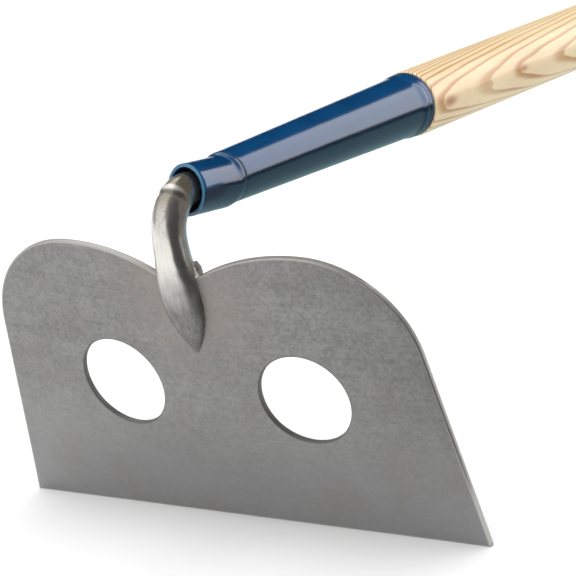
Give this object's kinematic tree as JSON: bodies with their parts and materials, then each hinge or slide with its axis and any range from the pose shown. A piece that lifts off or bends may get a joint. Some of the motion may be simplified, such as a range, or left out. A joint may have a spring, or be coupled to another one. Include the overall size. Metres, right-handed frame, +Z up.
{
  "type": "mixing hoe",
  "caption": "Two-hole mixing hoe: heart-shaped steel blade, swan neck, painted tapered ferrule and long round wooden handle.",
  "frame": {"origin": "on the ground under the middle of the hoe's bounding box, lying on its cutting edge and on the far end of its handle", "axes": "+Y from the blade along the handle, +X across the blade, +Z up"},
  "size_m": [0.254, 1.7316, 0.1795],
  "materials": {
    "blade_steel": "bare rolled steel plate, dull grey with faint mottling",
    "neck_steel": "ground forged steel, satin to bright",
    "weld_metal": "bright weld bead with dark edges",
    "blue_paint": "glossy deep blue enamel",
    "pin_steel": "plain round-headed steel pin",
    "handle_wood": "pale straight-grained wood with clear satin lacquer"
  },
  "bodies": {
    "root": {"blade": "blade_steel", "neck": "neck_steel", "weld_left": "weld_metal", "weld_right": "weld_metal", "weld_back": "weld_metal", "ferrule": "blue_paint", "ferrule_pin": "pin_steel", "handle": "handle_wood"}
  },
  "joints": []
}
